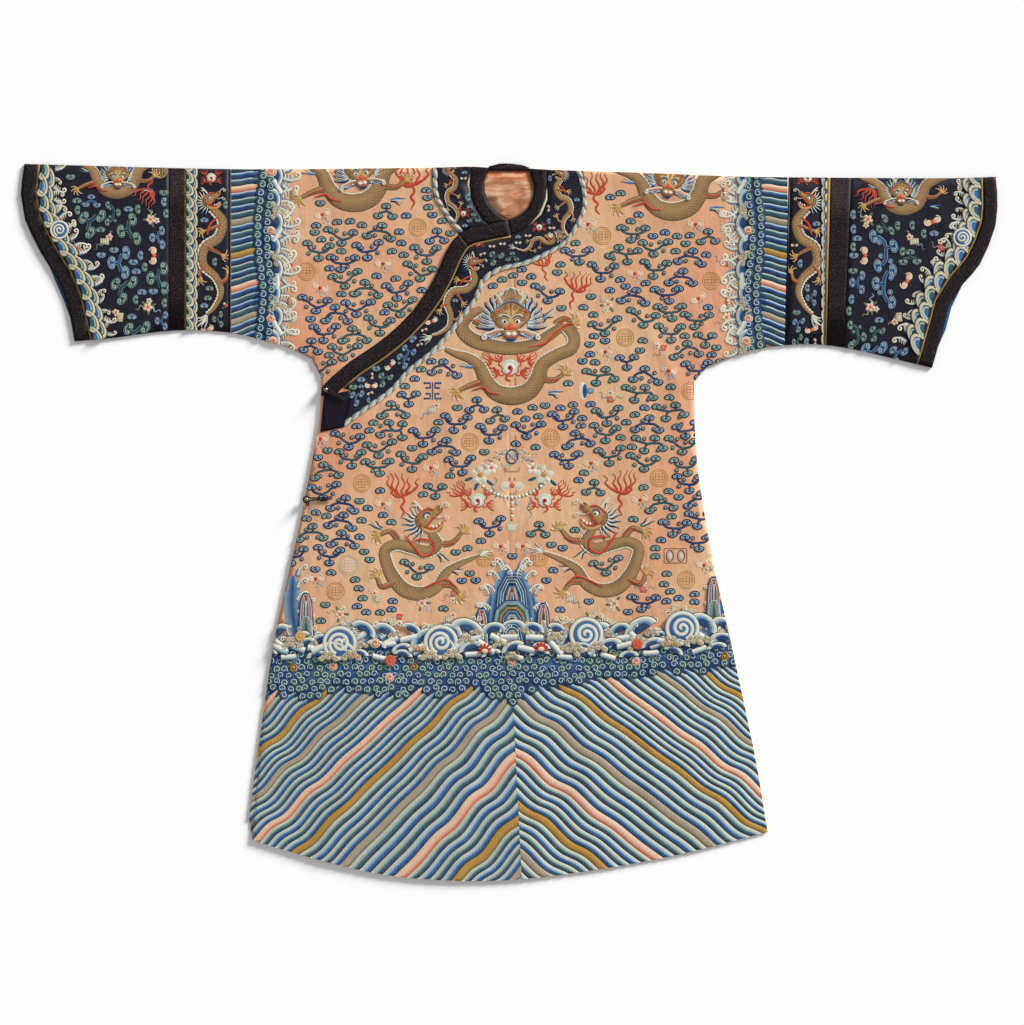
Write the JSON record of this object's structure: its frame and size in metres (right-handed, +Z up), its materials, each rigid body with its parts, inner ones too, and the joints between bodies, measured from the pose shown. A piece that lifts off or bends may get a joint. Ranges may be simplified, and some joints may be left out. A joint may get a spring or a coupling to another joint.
{
  "type": "chinese dragon robe",
  "caption": "Wide-sleeved silk robe laid flat with its front up: folded at the shoulders, a curved overlap closed at the side by cord frogs, and an open neck, cuffs and hem.",
  "frame": {"origin": "Middle of the robe's box, on the surface that the robe lies on.", "axes": "+X along the sleeves towards the wearer's left, +Y from the hem to the neck, +Z up through the layers, out of the front."},
  "size_m": [1.9063, 1.4005, 0.0159],
  "materials": {
    "apricot silk": "smooth silk with a soft sheen, embroidered",
    "navy silk": "smooth silk, embroidered",
    "navy satin": "plain satin",
    "black brocade": "figured weave, matt",
    "gold piping": "rolled silk piping",
    "cream piping": "rolled silk piping",
    "blue lining": "plain silk",
    "black cord": "twisted silk cord",
    "dull brass": "worn metal"
  },
  "bodies": {
    "root": {"body_l": "apricot silk", "body_r": "apricot silk", "overlap_front": "apricot silk", "back_lining": "apricot silk", "sleeve_cord_l": "navy satin", "sleeve_cord_r": "navy satin", "sleeve_strip_l": "navy silk", "sleeve_strip_r": "navy silk", "sleeve_piping_l": "gold piping", "sleeve_piping_r": "gold piping", "sleeve_ribbon_l": "black brocade", "sleeve_ribbon_r": "black brocade", "cuff_panel_l": "navy silk", "cuff_panel_r": "navy silk", "cuff_piping_l": "gold piping", "cuff_piping_r": "gold piping", "cuff_edging_l": "black brocade", "cuff_edging_r": "black brocade", "cuff_lining_l": "blue lining", "cuff_lining_r": "blue lining", "collar_over": "navy silk", "collar_under": "navy silk", "neck_band_l": "black brocade", "neck_band_r": "black brocade", "neck_rim": "black brocade", "overlap_band_upper": "black brocade", "overlap_band_lower": "black brocade", "overlap_piping": "gold piping", "neck_piping_l": "cream piping", "neck_piping_r": "cream piping", "closing_patch": "navy satin", "toggle_1": "dull brass", "toggle_2": "dull brass", "loop_1": "black cord", "loop_2": "black cord"}
  },
  "joints": []
}
